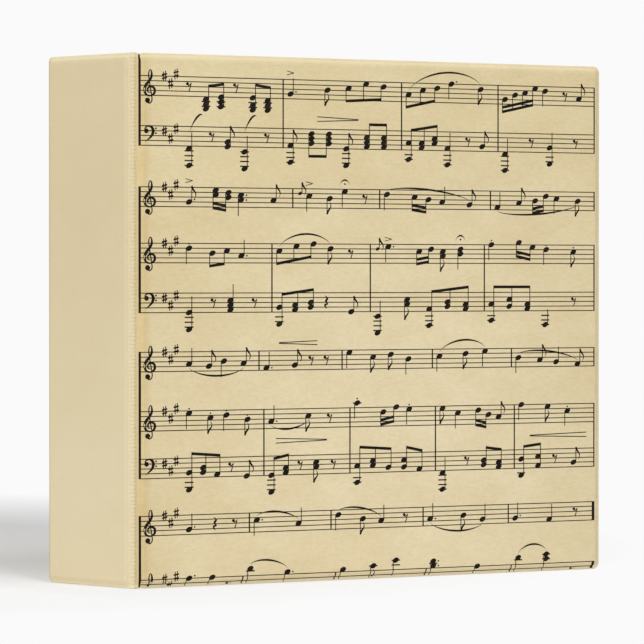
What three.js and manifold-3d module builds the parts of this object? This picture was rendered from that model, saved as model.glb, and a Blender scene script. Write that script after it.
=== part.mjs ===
// A letter-size ring binder with three D rings, standing on its bottom edge with the front cover a little open.
// Lengths are in millimetres and angles in degrees. Z is up, X runs from the spine to the fore-edge, and the
// back cover lies along X at the +Y side. The origin is the middle of the binder's footprint.
import * as THREE from "three";
import { mergeVertices } from "three/addons/utils/BufferGeometryUtils.js";
import Module from "manifold-3d";

const wasm = await Module();
wasm.setup();

// The case: two covers and a spine of board, each sealed between a printed wrap and a liner.
const CASE_HEIGHT = 295;
const COVER_WIDTH = 298; // from the hinge line to the fore-edge
const SPINE_WIDTH = 66; // from hinge line to hinge line
const COVER_AJAR = 22; // how far the front cover stands open past square
const BOARD_THICKNESS = 2.2;
const WRAP_THICKNESS = 0.4;
const LINER_THICKNESS = 0.4;
const LAYER_GAP = 0.1; // between one layer and the next
const RIM_WIDTH = 3; // sealed film past the board at the free edges
const COVER_HINGE_MARGIN = 4.5; // from the hinge line to the edge of a cover's board
const SPINE_HINGE_MARGIN = 2.4; // from the hinge line to the edge of the spine's board
const COVER_HINGE_LEG = 3; // of the folded strip, along a cover
const SPINE_HINGE_LEG = 1.6; // of the folded strip, along the spine
const HINGE_FOLD_RADIUS = 1.2;
const COVER_CORNER_RADIUS = 4;
const BOARD_CORNER_RADIUS = 2;
const WRAP_EDGE_RADIUS = 1;

// The pockets welded inside the covers.
const POCKET_FILM = 0.25;
const POCKET_GAP = 0.1;
const POCKET_LOW_HEIGHT = 150; // at the fore-edge
const POCKET_HIGH_HEIGHT = 205; // at the hinge side
const POCKET_MARGIN = 5; // from the free edges
const FRONT_POCKET_START = 14; // from the hinge line
const BACK_POCKET_START = 84; // from the hinge line, past the ring metal

// The ring metal: a sprung steel housing over two leaves that carry the half rings.
const HOUSING_OFFSET = 55; // from the back hinge line to the housing's middle
const HOUSING_LENGTH = 244;
const HOUSING_WIDTH = 32;
const HOUSING_WALL_HEIGHT = 4; // of the straight sides, below the arch
const HOUSING_ARCH_RISE = 6.5;
const HOUSING_SHEET = 1;
const HOUSING_LIP_WIDTH = 3.5;
const HOUSING_LIP_THICKNESS = 1.2;
const HOUSING_SEAT_GAP = 0.1;
const LEAF_LENGTH = 226;
const LEAF_THICKNESS = 1.2;
const LEAF_TILT = 3.5; // down towards the middle while the rings are closed
const LEAF_PIVOT_HEIGHT = 2.3;
const LEAF_EDGE_GAP = 0.4; // from the leaf's outer edge to the housing's side
const LEAF_MIDDLE_GAP = 0.5; // from leaf to leaf
const LEAF_TRAVEL = 12; // from closed to open

// The rings.
const RING_SPACING = 108;
const RING_WIRE = 3.6;
const RING_FOOT = 9; // from the housing's middle to each half ring's foot
const RING_HEIGHT = 58.5; // from the liner to the middle of the wire at the top
const RING_BULGE = 26; // from the housing's middle to the round side
const RING_CORNER_RADIUS = 8;
const RING_SPLIT = 1; // from the housing's middle to the joint of the two halves
const RING_TIP_GAP = 0.3;
const RING_HOLE_CLEARANCE = 0.15;
const RING_SLOT_CLEARANCE = 0.6;

// The levers at both ends of the housing.
const LEVER_WIDTH = 16;
const LEVER_SHEET = 1.5;
const LEVER_PIVOT_INSET = 5; // from the housing's end
const LEVER_PIVOT_HEIGHT = 4.5;
const LEVER_BARREL_RADIUS = 2;
const LEVER_REACH = 9.5; // from the pivot to the foot of the thumb tab
const LEVER_TAB_LENGTH = 17;
const LEVER_TAB_LEAN = 15;
const TONGUE_WIDTH = 4;
const TONGUE_SHEET = 0.55;
const TONGUE_LENGTH = 8;
const TONGUE_LIFT = 0.15; // over the liner
const PIN_DIAMETER = 2;
const PIN_HEAD_DIAMETER = 3.6;
const PIN_HEAD_THICKNESS = 0.6;
const PIN_CLEARANCE = 0.15;
const GRIP_WALL = 1.2;
const GRIP_LENGTH = 12.5;
const GRIP_CLEARANCE = 0.15;

// The rivets that hold the housing on the back cover.
const RIVET_SPACING = 108;
const RIVET_SHANK_DIAMETER = 4.8;
const RIVET_HEAD_DIAMETER = 10;
const RIVET_HEAD_THICKNESS = 1;
const RIVET_CLEARANCE = 0.15;
const RIVET_NOTCH_CLEARANCE = 0.8; // of the leaves round the shank

// Facets.
const CORNER_STEPS = 4;
const ARCH_STEPS = 16;
const HOLE_STEPS = 16;
const WIRE_SIDES = 4; // for half of the wire's round
const WIRE_STEP = 4.5; // along the wire
const LATHE_STEPS = 20;

// Levels through a panel, measured outwards from the middle of the hinge film.
const WELD_HALF = (LINER_THICKNESS + LAYER_GAP + WRAP_THICKNESS) / 2;
const LINER_INNER = -WELD_HALF;
const LINER_OUTER = LINER_INNER + LINER_THICKNESS;
const WRAP_RIM_INNER = LINER_OUTER + LAYER_GAP;
const BOARD_INNER = WRAP_RIM_INNER;
const BOARD_OUTER = BOARD_INNER + BOARD_THICKNESS;
const FACE_INNER = BOARD_OUTER + LAYER_GAP;
const FACE_OUTER = FACE_INNER + WRAP_THICKNESS;
const CUT_OVERRUN = 1; // how far a cutting tool runs past what it cuts

const INWARD = -1;
const OUTWARD = 1;

const wrapMaterial = new THREE.MeshStandardMaterial({ color: 0xdccba1, roughness: 0.55, metalness: 0 });
const boardMaterial = new THREE.MeshStandardMaterial({ color: 0x9b8f80, roughness: 0.95, metalness: 0 });
const linerMaterial = new THREE.MeshStandardMaterial({ color: 0xf2f1ec, roughness: 0.5, metalness: 0 });
const pocketMaterial = new THREE.MeshStandardMaterial({ color: 0xe6e8ea, roughness: 0.25, metalness: 0 });
const steelMaterial = new THREE.MeshStandardMaterial({ color: 0xc4c6c8, roughness: 0.25, metalness: 1 });
const gripMaterial = new THREE.MeshStandardMaterial({ color: 0x1e1e20, roughness: 0.6, metalness: 0 });

const radians = THREE.MathUtils.degToRad;

// Turns a closed geometry into a solid that can be cut and joined.
function solidOf(geometry) {
  const bare = geometry.clone();
  bare.deleteAttribute("normal");
  bare.deleteAttribute("uv");
  const merged = mergeVertices(bare, 1e-4);
  return new wasm.Manifold(
    new wasm.Mesh({
      numProp: 3,
      vertProperties: new Float32Array(merged.attributes.position.array),
      triVerts: new Uint32Array(merged.index.array),
    }),
  );
}

// Turns a solid back into a geometry with one normal for each face.
function geometryOf(solid) {
  const mesh = solid.getMesh();
  const indexed = new THREE.BufferGeometry();
  indexed.setAttribute("position", new THREE.BufferAttribute(mesh.vertProperties, 3));
  indexed.setIndex(new THREE.BufferAttribute(mesh.triVerts, 1));
  const geometry = indexed.toNonIndexed();
  geometry.computeVertexNormals();
  return geometry;
}

// Cuts every tool out of a geometry.
function cut(geometry, tools) {
  return geometryOf(tools.reduce((solid, tool) => solid.subtract(solidOf(tool)), solidOf(geometry)));
}

// Joins geometries into one.
function join(geometries) {
  const [first, ...others] = geometries.map(solidOf);
  return geometryOf(others.reduce((solid, other) => solid.add(other), first));
}

function piece(name, geometry, material) {
  const mesh = new THREE.Mesh(geometry, material);
  mesh.name = name;
  return mesh;
}

// A rectangle from (left, low) to (right, high), with its own corner radius at the left and at the right.
function rectangle(left, low, right, high, leftRadius = 0, rightRadius = leftRadius) {
  const shape = new THREE.Shape();
  shape.moveTo(left + leftRadius, low);
  shape.lineTo(right - rightRadius, low);
  if (rightRadius > 0) shape.absarc(right - rightRadius, low + rightRadius, rightRadius, -Math.PI / 2, 0);
  shape.lineTo(right, high - rightRadius);
  if (rightRadius > 0) shape.absarc(right - rightRadius, high - rightRadius, rightRadius, 0, Math.PI / 2);
  shape.lineTo(left + leftRadius, high);
  if (leftRadius > 0) shape.absarc(left + leftRadius, high - leftRadius, leftRadius, Math.PI / 2, Math.PI);
  shape.lineTo(left, low + leftRadius);
  if (leftRadius > 0) shape.absarc(left + leftRadius, low + leftRadius, leftRadius, Math.PI, Math.PI * 1.5);
  return shape;
}

function extrude(shape, depth, curveSegments = CORNER_STEPS) {
  return new THREE.ExtrudeGeometry(shape, { depth, bevelEnabled: false, curveSegments });
}

// Lays a geometry that was extruded from 0 to (high - low) into a panel, whose x runs along it and z up it.
// Its thickness then runs from low to high towards the side of the panel that faces out.
function layInPanel(geometry, low, high, side) {
  geometry.translate(0, 0, side === OUTWARD ? -high : low);
  return geometry.rotateX(Math.PI / 2);
}

function slab(shape, low, high, side, curveSegments = CORNER_STEPS) {
  return layInPanel(extrude(shape, high - low, curveSegments), low, high, side);
}

// A slab whose outer edge is rounded, as film is where it is drawn over a board.
function roundedSlab(shape, low, high, side) {
  const depth = high - low - WRAP_EDGE_RADIUS;
  const rounded = new THREE.ExtrudeGeometry(shape, {
    depth,
    bevelThickness: WRAP_EDGE_RADIUS,
    bevelSize: WRAP_EDGE_RADIUS,
    bevelOffset: -WRAP_EDGE_RADIUS,
    bevelSegments: CORNER_STEPS / 2,
    curveSegments: CORNER_STEPS,
  });
  rounded.translate(0, 0, side === OUTWARD ? -(low + depth) : low);
  rounded.rotateX(Math.PI / 2);
  rounded.computeBoundingBox();
  const { min, max } = rounded.boundingBox;
  const lowEnd = rectangle(
    min.x - CUT_OVERRUN,
    min.z - CUT_OVERRUN,
    max.x + CUT_OVERRUN,
    max.z + CUT_OVERRUN,
  );
  return cut(rounded, [slab(lowEnd, low - WRAP_EDGE_RADIUS - CUT_OVERRUN, low, side)]);
}

function panelHole(radius, x, z, side) {
  const circle = new THREE.Shape().absarc(x, z, radius, 0, Math.PI * 2);
  return slab(circle, LINER_INNER - CUT_OVERRUN, FACE_OUTER + CUT_OVERRUN, side, HOLE_STEPS);
}

// One stiff panel of the case: a liner, a board and the wrap drawn over it. Its frame stands on the hinge line,
// with x along the panel. freeEdge says whether the far side is a free edge or another hinge.
function casePanel({ name, width, side, freeEdge, rivetHoles = [] }) {
  const margin = freeEdge ? COVER_HINGE_MARGIN : SPINE_HINGE_MARGIN;
  const filmStart = (freeEdge ? COVER_HINGE_LEG : SPINE_HINGE_LEG) + LAYER_GAP;
  const filmEnd = freeEdge ? width : width - filmStart;
  const boardEnd = freeEdge ? width - RIM_WIDTH : width - margin;
  const filmRadius = freeEdge ? COVER_CORNER_RADIUS : 0;
  const film = rectangle(filmStart, 0, filmEnd, CASE_HEIGHT, 0, filmRadius);
  const grownBoard = (growth) =>
    rectangle(
      margin - growth,
      RIM_WIDTH - growth,
      boardEnd + growth,
      CASE_HEIGHT - RIM_WIDTH + growth,
      BOARD_CORNER_RADIUS + growth,
    );
  const holes = rivetHoles.map(([x, z]) =>
    panelHole(RIVET_SHANK_DIAMETER / 2 + RIVET_CLEARANCE, x, z, side),
  );
  const rim = slab(film, WRAP_RIM_INNER, WRAP_RIM_INNER + WRAP_THICKNESS, side);
  const raised = roundedSlab(grownBoard(LAYER_GAP + WRAP_THICKNESS), WRAP_RIM_INNER, FACE_OUTER, side);
  const cavity = slab(grownBoard(LAYER_GAP), WRAP_RIM_INNER - CUT_OVERRUN, FACE_INNER, side);
  const panel = new THREE.Group();
  panel.add(
    piece(`${name}_liner`, cut(slab(film, LINER_INNER, LINER_OUTER, side), holes), linerMaterial),
    piece(`${name}_board`, cut(slab(grownBoard(0), BOARD_INNER, BOARD_OUTER, side), holes), boardMaterial),
    piece(`${name}_wrap`, cut(join([rim, raised]), [cavity, ...holes]), wrapMaterial),
  );
  return panel;
}

// The folded strip of sealed film at a hinge, between two legs that leave the hinge line at these angles.
function hingeStrip(name, fromAngle, fromLength, toAngle, toLength) {
  const half = (toAngle - fromAngle) / 2;
  const filletOffset = HINGE_FOLD_RADIUS / Math.sin(half);
  const centre = new THREE.Vector2(filletOffset, 0).rotateAround(new THREE.Vector2(), fromAngle + half);
  const startAngle = fromAngle - Math.PI / 2;
  const endAngle = toAngle - (3 * Math.PI) / 2;
  const legEnd = (length, angle, across, thickness) =>
    new THREE.Vector2(length, 0)
      .rotateAround(new THREE.Vector2(), angle)
      .add(new THREE.Vector2(thickness, 0).rotateAround(new THREE.Vector2(), across));
  const section = new THREE.Shape();
  section.moveTo(...legEnd(fromLength, fromAngle, startAngle, -WELD_HALF));
  section.lineTo(...legEnd(fromLength, fromAngle, startAngle, WELD_HALF));
  section.absarc(centre.x, centre.y, HINGE_FOLD_RADIUS + WELD_HALF, startAngle, endAngle, true);
  section.lineTo(...legEnd(toLength, toAngle, endAngle, WELD_HALF));
  section.lineTo(...legEnd(toLength, toAngle, endAngle, -WELD_HALF));
  section.absarc(centre.x, centre.y, HINGE_FOLD_RADIUS - WELD_HALF, endAngle, startAngle, false);
  return piece(name, extrude(section, CASE_HEIGHT), wrapMaterial);
}

// A pocket of thin film on a cover's liner, with a slanting top that is lower at the fore-edge.
function coverPocket(name, start, side) {
  const end = COVER_WIDTH - POCKET_MARGIN;
  const outline = new THREE.Shape([
    new THREE.Vector2(start, POCKET_MARGIN),
    new THREE.Vector2(end, POCKET_MARGIN),
    new THREE.Vector2(end, POCKET_LOW_HEIGHT),
    new THREE.Vector2(start, POCKET_HIGH_HEIGHT),
  ]);
  const outer = LINER_INNER - POCKET_GAP;
  return piece(name, slab(outline, outer - POCKET_FILM, outer, side), pocketMaterial);
}

// The housing's arched section, open below between two lips that carry the leaves.
function housingSection() {
  const half = HOUSING_WIDTH / 2;
  const inner = half - HOUSING_SHEET;
  const lipEdge = half - HOUSING_LIP_WIDTH;
  const archCentre = HOUSING_WALL_HEIGHT;
  const section = new THREE.Shape();
  section.moveTo(half, 0);
  section.lineTo(half, archCentre);
  section.absellipse(0, archCentre, half, HOUSING_ARCH_RISE, 0, Math.PI, false);
  section.lineTo(-half, 0);
  section.lineTo(-lipEdge, 0);
  section.lineTo(-lipEdge, HOUSING_LIP_THICKNESS);
  section.lineTo(-inner, HOUSING_LIP_THICKNESS);
  section.absellipse(0, archCentre, inner, HOUSING_ARCH_RISE - HOUSING_SHEET, Math.PI, 0, true);
  section.lineTo(inner, HOUSING_LIP_THICKNESS);
  section.lineTo(lipEdge, HOUSING_LIP_THICKNESS);
  section.lineTo(lipEdge, 0);
  return section;
}

const leafPivot = HOUSING_WIDTH / 2 - HOUSING_SHEET - LEAF_EDGE_GAP - LEAF_THICKNESS / 2;
const ringHeights = [-RING_SPACING, 0, RING_SPACING];
const rivetHeights = [-RIVET_SPACING / 2, RIVET_SPACING / 2];
const leverPivot = HOUSING_LENGTH / 2 - LEVER_PIVOT_INSET;
const housingTop = HOUSING_WALL_HEIGHT + HOUSING_ARCH_RISE;

// A round tool along y, through the housing or a leaf.
function roundCutter(radius, x, z) {
  const length = housingTop + CUT_OVERRUN * 2;
  return new THREE.CylinderGeometry(radius, radius, length, HOLE_STEPS).translate(x, housingTop / 2, z);
}

function ringHousing() {
  const body = extrude(housingSection(), HOUSING_LENGTH, ARCH_STEPS);
  body.translate(0, 0, -HOUSING_LENGTH / 2);
  const wireRadius = RING_WIRE / 2;
  const swing = (housingTop - LEAF_PIVOT_HEIGHT) * Math.sin(radians(LEAF_TRAVEL));
  const slotLength = RING_WIRE + swing + RING_SLOT_CLEARANCE * 2;
  const slotWidth = RING_WIRE + RING_SLOT_CLEARANCE * 2;
  const slotMiddle = RING_FOOT - wireRadius - RING_SLOT_CLEARANCE + slotLength / 2;
  const slots = ringHeights.flatMap((z) =>
    [-slotMiddle, slotMiddle].map((x) =>
      new THREE.BoxGeometry(slotLength, housingTop, slotWidth).translate(
        x,
        HOUSING_WALL_HEIGHT + housingTop / 2,
        z,
      ),
    ),
  );
  const rivetHoles = rivetHeights.map((z) =>
    roundCutter(RIVET_SHANK_DIAMETER / 2 + RIVET_CLEARANCE, 0, z),
  );
  const pinRadius = PIN_DIAMETER / 2 + PIN_CLEARANCE;
  const pinHoles = [-leverPivot, leverPivot].map((z) =>
    new THREE.CylinderGeometry(pinRadius, pinRadius, HOUSING_WIDTH + CUT_OVERRUN, HOLE_STEPS)
      .rotateZ(Math.PI / 2)
      .translate(0, LEVER_PIVOT_HEIGHT, z),
  );
  return piece("ring_housing", cut(body, [...slots, ...rivetHoles, ...pinHoles]), steelMaterial);
}

// A leaf in a frame on its pivot line, with x towards the housing's middle and z along the housing.
function ringLeaf(name, hand) {
  const reach = (leafPivot - LEAF_MIDDLE_GAP / 2) / Math.cos(radians(LEAF_TILT));
  const plate = new THREE.BoxGeometry(reach + LEAF_THICKNESS / 2, LEAF_THICKNESS, LEAF_LENGTH);
  plate.translate((reach - LEAF_THICKNESS / 2) / 2, 0, 0);
  const notchRadius = RIVET_SHANK_DIAMETER / 2 + RIVET_NOTCH_CLEARANCE;
  const holeRadius = RING_WIRE / 2 + RING_HOLE_CLEARANCE;
  const notches = rivetHeights.map((z) => roundCutter(notchRadius, leafPivot, z));
  const holes = ringHeights.map((z) => roundCutter(holeRadius, 0, z));
  for (const notch of notches) notch.translate(0, -housingTop / 2, 0);
  for (const hole of holes) {
    hole.translate(0, -housingTop / 2, 0);
    hole.rotateZ(radians(LEAF_TILT)).translate(leafPivot - RING_FOOT, 0, 0);
  }
  const geometry = cut(plate, [...notches, ...holes]);
  geometry.rotateZ(radians(-LEAF_TILT));
  if (hand < 0) geometry.rotateY(Math.PI);
  const leaf = piece(name, geometry, steelMaterial);
  leaf.position.set(-hand * leafPivot, LEAF_PIVOT_HEIGHT, 0);
  return leaf;
}

// A line of wire through a housing's cross-section, as a solid of round section.
function wire(path) {
  const section = new THREE.Shape().absarc(0, 0, RING_WIRE / 2, 0, Math.PI * 2);
  return new THREE.ExtrudeGeometry(section, {
    steps: Math.round(path.getLength() / WIRE_STEP),
    extrudePath: path,
    curveSegments: WIRE_SIDES,
  });
}

function point(x, y) {
  return new THREE.Vector3(x, y, 0);
}

// The underside of a leaf, where a half ring's foot is staked.
const ringFootHeight =
  LEAF_PIVOT_HEIGHT - (leafPivot - RING_FOOT) * Math.tan(radians(LEAF_TILT)) - LEAF_THICKNESS / 2;

// The straight half of a ring, on the fore-edge side: a post, a round corner and a short tip.
function straightHalfRing() {
  const corner = RING_HEIGHT - RING_CORNER_RADIUS;
  const tip = RING_SPLIT - RING_TIP_GAP / 2;
  const path = new THREE.CurvePath();
  path.add(new THREE.LineCurve3(point(-RING_FOOT, ringFootHeight), point(-RING_FOOT, corner)));
  path.add(
    new THREE.QuadraticBezierCurve3(
      point(-RING_FOOT, corner),
      point(-RING_FOOT, RING_HEIGHT),
      point(-RING_FOOT + RING_CORNER_RADIUS, RING_HEIGHT),
    ),
  );
  path.add(
    new THREE.LineCurve3(point(-RING_FOOT + RING_CORNER_RADIUS, RING_HEIGHT), point(tip, RING_HEIGHT)),
  );
  return wire(path);
}

// The round half of a ring, on the spine side: it leaves the housing, bulges out and comes back over the top.
function roundHalfRing() {
  const leave = housingTop;
  const widest = RING_HEIGHT / 2;
  const shoulder = (RING_BULGE - RING_SPLIT) * 0.6;
  const tip = RING_SPLIT + RING_TIP_GAP / 2;
  const topStart = tip + RING_CORNER_RADIUS / 2;
  const path = new THREE.CurvePath();
  path.add(new THREE.LineCurve3(point(RING_FOOT, ringFootHeight), point(RING_FOOT, leave)));
  path.add(
    new THREE.CubicBezierCurve3(
      point(RING_FOOT, leave),
      point(RING_FOOT, leave + (widest - leave) / 2),
      point(RING_BULGE, widest - (widest - leave) / 2),
      point(RING_BULGE, widest),
    ),
  );
  path.add(
    new THREE.CubicBezierCurve3(
      point(RING_BULGE, widest),
      point(RING_BULGE, RING_HEIGHT - (RING_HEIGHT - widest) / 3),
      point(topStart + shoulder, RING_HEIGHT),
      point(topStart, RING_HEIGHT),
    ),
  );
  path.add(new THREE.LineCurve3(point(topStart, RING_HEIGHT), point(tip, RING_HEIGHT)));
  return wire(path);
}

// A rivet along y: a domed head on the housing, a shank through the back cover and a flat head outside.
function housingRivet(name, z) {
  const shank = RIVET_SHANK_DIAMETER / 2;
  const head = RIVET_HEAD_DIAMETER / 2;
  const seat = housingTop + LAYER_GAP;
  const outerFace = -(FACE_OUTER - LINER_INNER) - HOUSING_SEAT_GAP - LAYER_GAP;
  const profile = [
    [0, outerFace - RIVET_HEAD_THICKNESS],
    [head * 0.8, outerFace - RIVET_HEAD_THICKNESS],
    [head, outerFace - RIVET_HEAD_THICKNESS * 0.6],
    [head, outerFace],
    [shank, outerFace],
    [shank, seat],
    [head * 0.8, seat],
    [head * 0.8, seat + RIVET_HEAD_THICKNESS * 0.4],
    [head * 0.5, seat + RIVET_HEAD_THICKNESS],
    [0, seat + RIVET_HEAD_THICKNESS * 1.2],
  ].map(([radius, height]) => new THREE.Vector2(radius, height));
  const rivet = piece(name, new THREE.LatheGeometry(profile, LATHE_STEPS), steelMaterial);
  rivet.position.z = z;
  return rivet;
}

// A lever pin along x, with a small head at each side of the housing.
function leverPin(name) {
  const shank = PIN_DIAMETER / 2;
  const head = PIN_HEAD_DIAMETER / 2;
  const half = HOUSING_WIDTH / 2 + LAYER_GAP;
  const profile = [
    [0, -half - PIN_HEAD_THICKNESS],
    [head, -half - PIN_HEAD_THICKNESS],
    [head, -half],
    [shank, -half],
    [shank, half],
    [head, half],
    [head, half + PIN_HEAD_THICKNESS],
    [0, half + PIN_HEAD_THICKNESS],
  ].map(([radius, height]) => new THREE.Vector2(radius, height));
  return piece(name, new THREE.LatheGeometry(profile, HOLE_STEPS).rotateZ(Math.PI / 2), steelMaterial);
}

// A flat shape drawn along the lever (x) and away from the cover (y), given a width across the housing.
function acrossHousing(shape, width) {
  const geometry = extrude(shape, width, HOLE_STEPS);
  return geometry.translate(0, 0, -width / 2).rotateY(-Math.PI / 2);
}

// A lever in a frame on its pivot: a tongue under the leaves, a barrel round the pin and a leaning thumb tab.
function leverBody() {
  const barrel = new THREE.Shape().absarc(0, 0, LEVER_BARREL_RADIUS, 0, Math.PI * 2);
  const tongueLow = TONGUE_LIFT - LEVER_PIVOT_HEIGHT;
  const tongueHigh = tongueLow + TONGUE_SHEET;
  const tongue = new THREE.Shape([
    new THREE.Vector2(-TONGUE_LENGTH, tongueLow),
    new THREE.Vector2(-LEVER_BARREL_RADIUS / 2, tongueLow),
    new THREE.Vector2(LEVER_BARREL_RADIUS / 2, 0),
    new THREE.Vector2(-LEVER_BARREL_RADIUS / 2, 0),
    new THREE.Vector2(-LEVER_BARREL_RADIUS, tongueHigh),
    new THREE.Vector2(-TONGUE_LENGTH, tongueHigh),
  ]);
  const half = LEVER_SHEET / 2;
  const arm = rectangle(0, -half, LEVER_REACH + half, half, 0, half);
  const tab = rectangle(-half, -half, half, LEVER_TAB_LENGTH, 0);
  const tabSolid = acrossHousing(tab, LEVER_WIDTH);
  tabSolid.rotateX(radians(LEVER_TAB_LEAN)).translate(0, 0, LEVER_REACH);
  const pinRadius = PIN_DIAMETER / 2 + PIN_CLEARANCE;
  const pinHole = new THREE.Shape().absarc(0, 0, pinRadius, 0, Math.PI * 2);
  const whole = join([
    acrossHousing(barrel, LEVER_WIDTH),
    acrossHousing(tongue, TONGUE_WIDTH),
    acrossHousing(arm, LEVER_WIDTH),
    tabSolid,
  ]);
  return cut(whole, [acrossHousing(pinHole, LEVER_WIDTH + CUT_OVERRUN)]);
}

// A plastic cap pushed over the tab's end, in the lever's frame.
function leverGrip() {
  const half = LEVER_SHEET / 2 + GRIP_CLEARANCE;
  const outer = half + GRIP_WALL;
  const low = LEVER_TAB_LENGTH - GRIP_LENGTH;
  const socketTop = LEVER_TAB_LENGTH + GRIP_CLEARANCE;
  const block = rectangle(-outer, low, outer, socketTop + GRIP_WALL, GRIP_WALL);
  const socket = rectangle(-half, low - CUT_OVERRUN, half, socketTop);
  const cap = cut(acrossHousing(block, LEVER_WIDTH + GRIP_WALL * 2 + GRIP_CLEARANCE * 2), [
    acrossHousing(socket, LEVER_WIDTH + GRIP_CLEARANCE * 2),
  ]);
  return cap.rotateX(radians(LEVER_TAB_LEAN)).translate(0, 0, LEVER_REACH);
}

function lever(name, z) {
  const group = new THREE.Group();
  group.add(
    piece(`${name}_lever`, leverBody(), steelMaterial),
    piece(`${name}_lever_grip`, leverGrip(), gripMaterial),
    leverPin(`${name}_lever_pin`),
  );
  group.position.set(0, LEVER_PIVOT_HEIGHT, z);
  if (z < 0) group.rotation.y = Math.PI;
  return group;
}

// The whole ring metal, in a frame on the liner with x towards the spine and y away from the back cover.
function ringMetal() {
  const group = new THREE.Group();
  group.add(
    ringHousing(),
    ringLeaf("round_ring_leaf", -1),
    ringLeaf("straight_ring_leaf", 1),
    lever("upper", leverPivot),
    lever("lower", -leverPivot),
    housingRivet("upper_rivet", rivetHeights[1]),
    housingRivet("lower_rivet", rivetHeights[0]),
  );
  ["lower", "middle", "upper"].forEach((place, index) => {
    const straight = piece(`${place}_ring_straight_half`, straightHalfRing(), steelMaterial);
    const round = piece(`${place}_ring_round_half`, roundHalfRing(), steelMaterial);
    straight.position.z = ringHeights[index];
    round.position.z = ringHeights[index];
    group.add(straight, round);
  });
  return group;
}

// The front cover turns about the front hinge line, which is also the spine panel's starting line.
const frontCover = casePanel({ name: "front_cover", width: COVER_WIDTH, side: INWARD, freeEdge: true });
frontCover.add(coverPocket("front_pocket", FRONT_POCKET_START, INWARD));
frontCover.rotation.z = radians(-COVER_AJAR);

const spine = casePanel({ name: "spine", width: SPINE_WIDTH, side: OUTWARD, freeEdge: false });
spine.rotation.z = Math.PI / 2;

const frontHinge = hingeStrip(
  "front_hinge_strip",
  radians(-COVER_AJAR),
  COVER_HINGE_LEG,
  Math.PI / 2,
  SPINE_HINGE_LEG,
);

const backCover = casePanel({
  name: "back_cover",
  width: COVER_WIDTH,
  side: OUTWARD,
  freeEdge: true,
  rivetHoles: rivetHeights.map((z) => [HOUSING_OFFSET, CASE_HEIGHT / 2 + z]),
});
backCover.add(coverPocket("back_pocket", BACK_POCKET_START, OUTWARD));
backCover.position.y = SPINE_WIDTH;

const backHinge = hingeStrip("back_hinge_strip", -Math.PI / 2, SPINE_HINGE_LEG, 0, COVER_HINGE_LEG);
backHinge.position.y = SPINE_WIDTH;

const rings = ringMetal();
rings.position.set(HOUSING_OFFSET, SPINE_WIDTH + LINER_INNER - HOUSING_SEAT_GAP, CASE_HEIGHT / 2);
rings.rotation.z = Math.PI;

const binder = new THREE.Group();
binder.add(frontCover, frontHinge, spine, backHinge, backCover, rings);

// Puts the origin at the middle of the footprint.
binder.updateMatrixWorld(true);
const footprint = new THREE.Box3().setFromObject(binder, true);
const middle = footprint.getCenter(new THREE.Vector3());
binder.position.set(-middle.x, -middle.y, -footprint.min.z);

export default binder;
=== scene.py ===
import math

import bmesh
import bpy
import numpy as np
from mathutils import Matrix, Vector


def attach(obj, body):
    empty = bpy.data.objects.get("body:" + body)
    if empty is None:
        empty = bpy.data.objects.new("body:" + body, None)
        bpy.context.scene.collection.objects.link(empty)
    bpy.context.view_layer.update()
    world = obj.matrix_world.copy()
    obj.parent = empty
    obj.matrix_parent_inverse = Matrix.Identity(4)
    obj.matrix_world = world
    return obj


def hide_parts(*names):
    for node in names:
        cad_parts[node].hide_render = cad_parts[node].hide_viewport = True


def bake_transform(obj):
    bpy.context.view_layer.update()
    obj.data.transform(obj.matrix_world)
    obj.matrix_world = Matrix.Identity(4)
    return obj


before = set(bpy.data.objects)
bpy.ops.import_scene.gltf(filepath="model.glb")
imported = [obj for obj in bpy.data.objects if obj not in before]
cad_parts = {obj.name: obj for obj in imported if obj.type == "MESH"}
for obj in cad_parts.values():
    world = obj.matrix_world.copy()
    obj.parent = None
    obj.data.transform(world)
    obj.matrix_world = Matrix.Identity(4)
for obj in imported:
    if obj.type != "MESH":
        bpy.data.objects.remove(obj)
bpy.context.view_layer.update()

# Sizes in millimetres, as the solids have them. Points become metres when a mesh is made.
FRONT_AXIS = (-147.625, 21.511)
BACK_AXIS = (-147.625, 87.511)
HEIGHT = 295.0
COVER = 298.0
SPINE = 66.0
AJAR = math.radians(22.0)
RIM = 3.0
COVER_HINGE_MARGIN = 4.5
SPINE_HINGE_MARGIN = 2.4
CORNER = 4.0
WELD = 0.45
FACE = 2.75
FILM = 0.4
FOLD, FOLD_STEPS = 1.2, 9

# How the film lies over a board: it starts to fall inside the board's edge and meets the weld outside it.
SHOULDER = 2.6
SLOPE = 1.9
SPINE_SLOPE = 1.1
FALL_POWER = 2.2
EDGE_ROUND, EDGE_DROP = 0.3, 0.2
SEAM = 1.65

# The boards under the film are not quite flat: gentle waves that start inside the edges.
WAVE = 0.045
WAVE_FROM, WAVE_RISE = 7.0, 20.0

# The film's cut ends dip a little on the front cover beside its hinge, and are rounded off at the back hinge.
FRONT_DIP, FRONT_DIP_AT, FRONT_DIP_REACH = 0.45, 4.3, 2.6
BACK_ROUND, BACK_ROUND_REACH = 3.4, 2.6

# The teeth of the welding bar, and the painted highlight: how much paler the film is painted at its ends and beside
# the front hinge, standing in for the light that its slopes catch there.
TOOTH_PITCH = 2.1
TOOTH_REACH = (1.1, 1.9)
HINGE_HIGHLIGHT, HINGE_HIGHLIGHT_REACH = 0.15, (2.4, 3.4)
ENDS_HIGHLIGHT, ENDS_HIGHLIGHT_REACH = 0.38, (2.2, 3.2)


def metres(point, z=0.0):
    return (point[0] / 1000.0, point[1] / 1000.0, z)


def unit(vector):
    return vector / np.linalg.norm(vector)


def around(items, i):
    """The items before and after item i, or item i itself at an end."""
    return items[max(i - 1, 0)], items[min(i + 1, len(items) - 1)]


# Materials

def colour(r, g, b):
    """A linear colour from 0-255 display values."""
    def lin(c):
        c /= 255.0
        return c / 12.92 if c <= 0.04045 else ((c + 0.055) / 1.055) ** 2.4
    return (lin(r), lin(g), lin(b), 1.0)


WHITE = (1.0, 1.0, 1.0, 1.0)


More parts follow.
